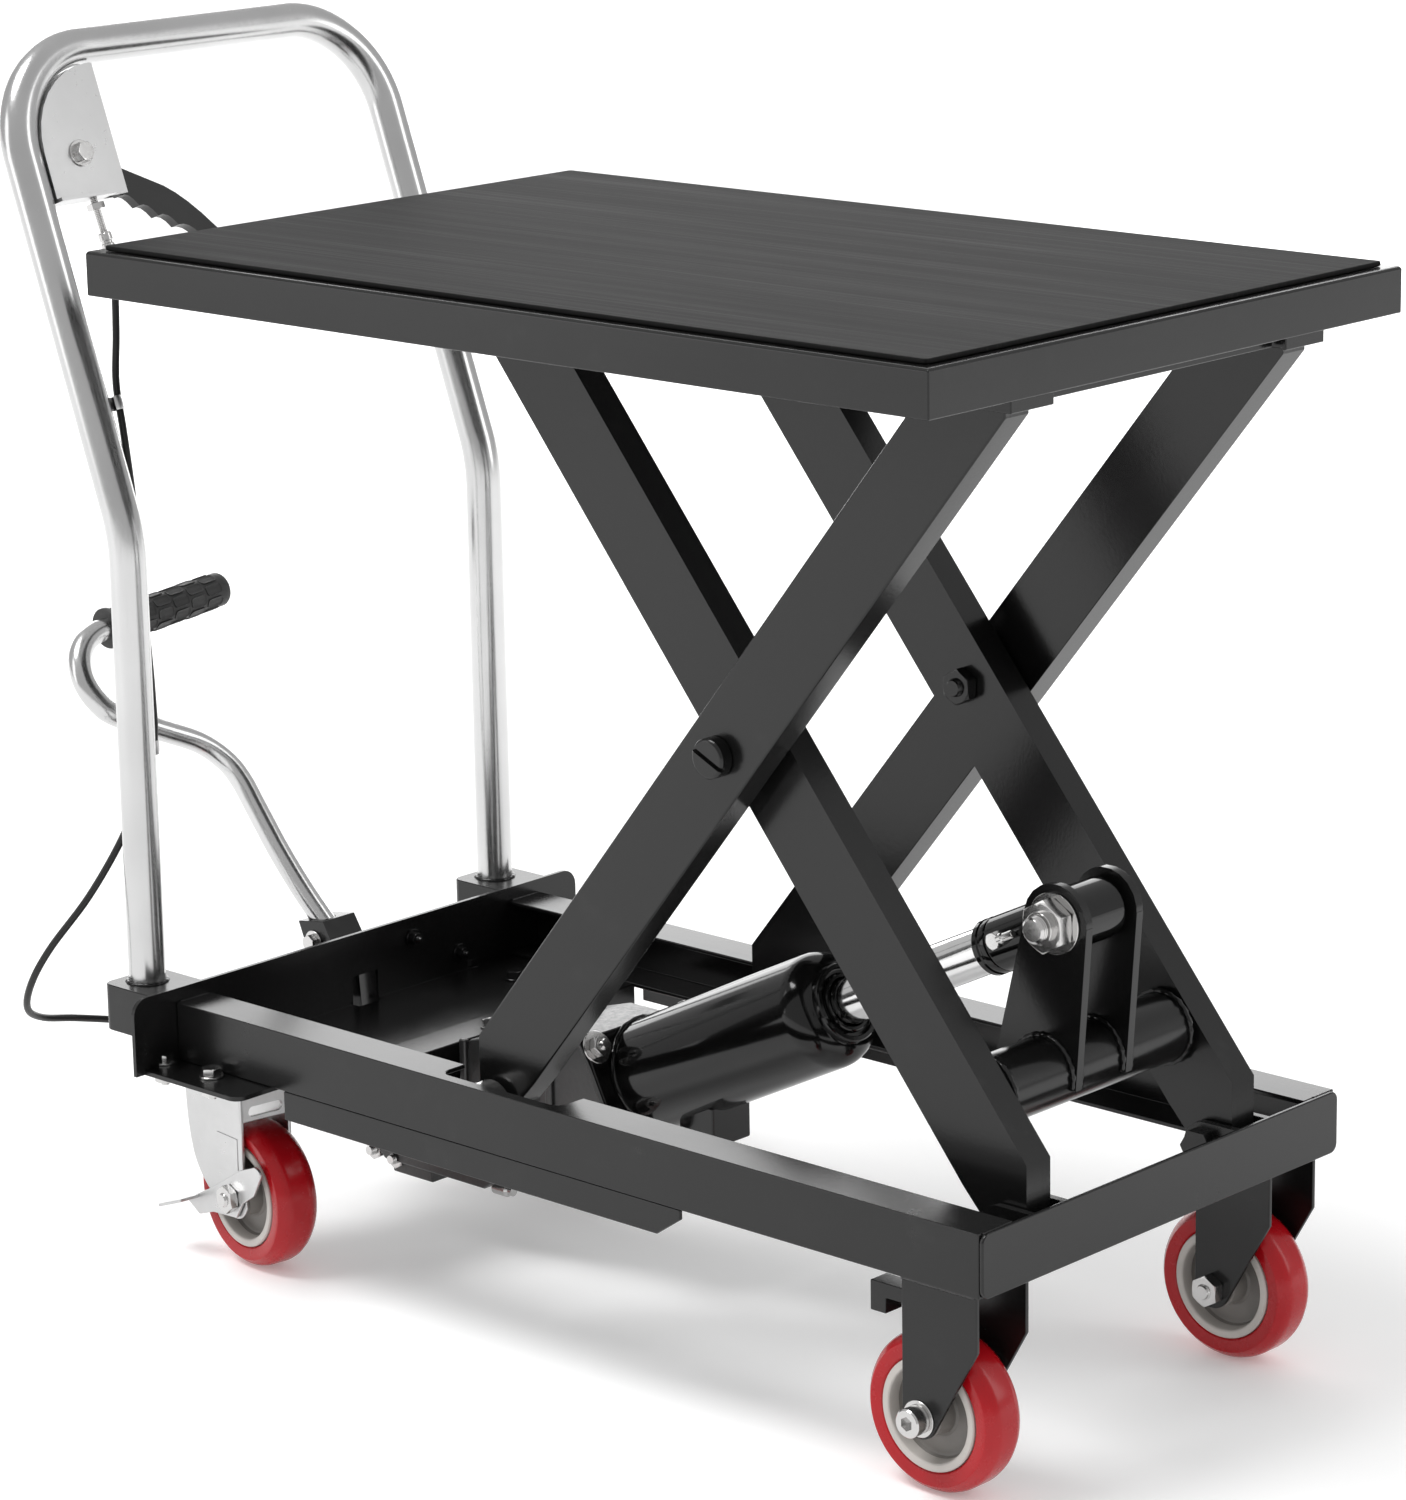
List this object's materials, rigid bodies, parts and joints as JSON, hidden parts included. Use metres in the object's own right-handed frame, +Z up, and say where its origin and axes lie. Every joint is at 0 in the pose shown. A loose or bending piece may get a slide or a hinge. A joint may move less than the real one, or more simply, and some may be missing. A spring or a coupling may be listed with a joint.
{
  "type": "scissor lift table",
  "caption": "Foot-pumped scissor lift table: steel base on casters, crossed arms, hydraulic cylinder, matted platform tray and a tube push handle with a release lever.",
  "frame": {"origin": "on the floor under the middle of the whole table's bounding box", "axes": "+X from the push handle towards the front of the platform, +Z up, the release lever on the -Y side"},
  "size_m": [0.8877, 0.44, 0.8084],
  "materials": {
    "frame_black": "semi-gloss black powder coat",
    "tray_black": "semi-gloss black powder coat",
    "barrel_black": "gloss black paint",
    "cast_black": "black painted casting",
    "chrome": "bright plated tube",
    "zinc": "bright zinc plate",
    "tyre_red": "smooth red polyurethane",
    "rim_grey": "warm grey moulded plastic",
    "mat_black": "fine ribbed rubber",
    "grip_black": "moulded grip rubber",
    "lever_black": "satin black",
    "cable_black": "smooth cable sheath"
  },
  "bodies": {
    "base": {"front_plate": "frame_black", "rear_member": "frame_black", "cross_member": "frame_black", "side_rail_left": "frame_black", "side_rail_right": "frame_black", "skirt_plate_left": "frame_black", "skirt_plate_right": "frame_black", "handle_socket_left": "frame_black", "handle_socket_right": "frame_black", "base_pivot_left": "frame_black", "base_pivot_right": "frame_black", "front_fork_left": "frame_black", "front_fork_right": "frame_black", "front_axle_left": "zinc", "front_axle_right": "zinc", "caster_plate_left": "zinc", "caster_plate_right": "zinc", "handle_tube": "chrome", "lever_bracket": "zinc", "cable_adjuster": "zinc", "release_cable": "cable_black", "pump_body": "cast_black"},
    "inner_arms": {"inner_arm_left": "frame_black", "inner_arm_right": "frame_black", "clevis_tube": "frame_black", "clevis_pin": "zinc", "centre_pin_left": "frame_black", "centre_pin_right": "frame_black"},
    "outer_arms": {"outer_arm_left": "frame_black", "outer_arm_right": "frame_black"},
    "platform": {"platform_tray": "tray_black", "platform_mat": "mat_black", "tray_bar": "frame_black", "top_pivot_left": "frame_black", "top_pivot_right": "frame_black"},
    "piston_rod": {"piston_rod": "chrome"},
    "cylinder_barrel": {"cylinder_barrel": "barrel_black"},
    "foot_pedal": {"pedal_tube": "chrome", "pedal_grip": "grip_black", "pedal_socket": "frame_black"},
    "pump_plunger": {"pump_plunger": "zinc"},
    "release_lever": {"release_lever": "lever_black"},
    "front_wheel_left": {"front_left_tyre": "tyre_red", "front_left_hub": "rim_grey"},
    "rear_caster_left": {"caster_fork_left": "zinc"},
    "rear_wheel_left": {"rear_left_tyre": "tyre_red", "rear_left_hub": "rim_grey"},
    "brake_left": {"brake_pedal_left": "zinc"},
    "lower_roller_left": {"lower_roller_left": "zinc"},
    "upper_roller_left": {"upper_roller_left": "zinc"},
    "front_wheel_right": {"front_right_tyre": "tyre_red", "front_right_hub": "rim_grey"},
    "rear_caster_right": {"caster_fork_right": "zinc"},
    "rear_wheel_right": {"rear_right_tyre": "tyre_red", "rear_right_hub": "rim_grey"},
    "brake_right": {"brake_pedal_right": "zinc"},
    "lower_roller_right": {"lower_roller_right": "zinc"},
    "upper_roller_right": {"upper_roller_right": "zinc"}
  },
  "joints": [
    {"name": "scissor_lift", "type": "hinge", "parent": "base", "child": "inner_arms", "pos_m": [0.405, 0, 0.1585], "axis": [0, 1, 0], "range_deg": [-43, 3]},
    {"name": "arm_crossing", "type": "hinge", "parent": "inner_arms", "child": "outer_arms", "pos_m": [0.2095, 0, 0.418], "axis": [0, 1, 0], "range_deg": [-6, 86]},
    {"name": "platform_pivot", "type": "hinge", "parent": "outer_arms", "child": "platform", "pos_m": [0.3985, 0, 0.6685], "axis": [0, 1, 0], "range_deg": [-43, 3]},
    {"name": "rod_eye", "type": "hinge", "parent": "inner_arms", "child": "piston_rod", "pos_m": [0.37801, -0.003, 0.32101], "axis": [0, 1, 0], "range_deg": [-3, 43]},
    {"name": "cylinder_stroke", "type": "slide", "parent": "piston_rod", "child": "cylinder_barrel", "axis": [-0.8961, 0, -0.4439], "range_m": [-0.1213, 0.0086]},
    {"name": "pedal_stroke", "type": "hinge", "parent": "base", "child": "foot_pedal", "pos_m": [-0.278, 0, 0.165], "axis": [0, -1, 0], "range_deg": [0, 28], "stiffness_Nm_per_rad": 8, "springref_deg": -22.92},
    {"name": "plunger_stroke", "type": "slide", "parent": "base", "child": "pump_plunger", "axis": [1, 0, 0], "range_m": [0, 0.0296]},
    {"name": "lever_pull", "type": "hinge", "parent": "base", "child": "release_lever", "pos_m": [-0.37973, -0.1219, 0.72814], "axis": [0.9409, 0, 0.3387], "range_deg": [0, 18], "stiffness_Nm_per_rad": 1.5, "springref_deg": -11.46},
    {"name": "front_wheel_spin_left", "type": "hinge", "parent": "base", "child": "front_wheel_left", "pos_m": [0.385, 0.142, 0.05], "axis": [0, 1, 0], "continuous": true},
    {"name": "caster_swivel_left", "type": "hinge", "parent": "base", "child": "rear_caster_left", "pos_m": [-0.237, 0.1425, 0.12], "axis": [0, 0, 1], "continuous": true},
    {"name": "rear_wheel_spin_left", "type": "hinge", "parent": "rear_caster_left", "child": "rear_wheel_left", "pos_m": [-0.21026, 0.14626, 0.05], "axis": [-0.1392, 0.9903, 0], "continuous": true},
    {"name": "brake_press_left", "type": "hinge", "parent": "rear_caster_left", "child": "brake_left", "pos_m": [-0.21026, 0.14626, 0.05], "axis": [0.1392, -0.9903, 0], "range_deg": [0, 18]},
    {"name": "lower_roller_spin_left", "type": "hinge", "parent": "outer_arms", "child": "lower_roller_left", "pos_m": [0.014, 0.154, 0.1585], "axis": [0, 1, 0], "continuous": true},
    {"name": "upper_roller_spin_left", "type": "hinge", "parent": "inner_arms", "child": "upper_roller_left", "pos_m": [0.0205, 0.1225, 0.6685], "axis": [0, 1, 0], "continuous": true},
    {"name": "front_wheel_spin_right", "type": "hinge", "parent": "base", "child": "front_wheel_right", "pos_m": [0.385, -0.142, 0.05], "axis": [0, 1, 0], "continuous": true},
    {"name": "caster_swivel_right", "type": "hinge", "parent": "base", "child": "rear_caster_right", "pos_m": [-0.237, -0.1425, 0.12], "axis": [0, 0, 1], "continuous": true},
    {"name": "rear_wheel_spin_right", "type": "hinge", "parent": "rear_caster_right", "child": "rear_wheel_right", "pos_m": [-0.21026, -0.14626, 0.05], "axis": [0.1392, 0.9903, 0], "continuous": true},
    {"name": "brake_press_right", "type": "hinge", "parent": "rear_caster_right", "child": "brake_right", "pos_m": [-0.21026, -0.14626, 0.05], "axis": [-0.1392, -0.9903, 0], "range_deg": [0, 18]},
    {"name": "lower_roller_spin_right", "type": "hinge", "parent": "outer_arms", "child": "lower_roller_right", "pos_m": [0.014, -0.154, 0.1585], "axis": [0, 1, 0], "continuous": true},
    {"name": "upper_roller_spin_right", "type": "hinge", "parent": "inner_arms", "child": "upper_roller_right", "pos_m": [0.0205, -0.1225, 0.6685], "axis": [0, 1, 0], "continuous": true}
  ],
  "couplings": [
    {"joint": "arm_crossing", "follows": "scissor_lift", "ratio": -2},
    {"joint": "platform_pivot", "follows": "scissor_lift", "ratio": 1},
    {"joint": "rod_eye", "follows": "scissor_lift", "ratio": -1},
    {"joint": "cylinder_stroke", "follows": "scissor_lift", "m_per_rad": 0.1615},
    {"joint": "plunger_stroke", "follows": "pedal_stroke", "m_per_rad": 0.0604}
  ]
}
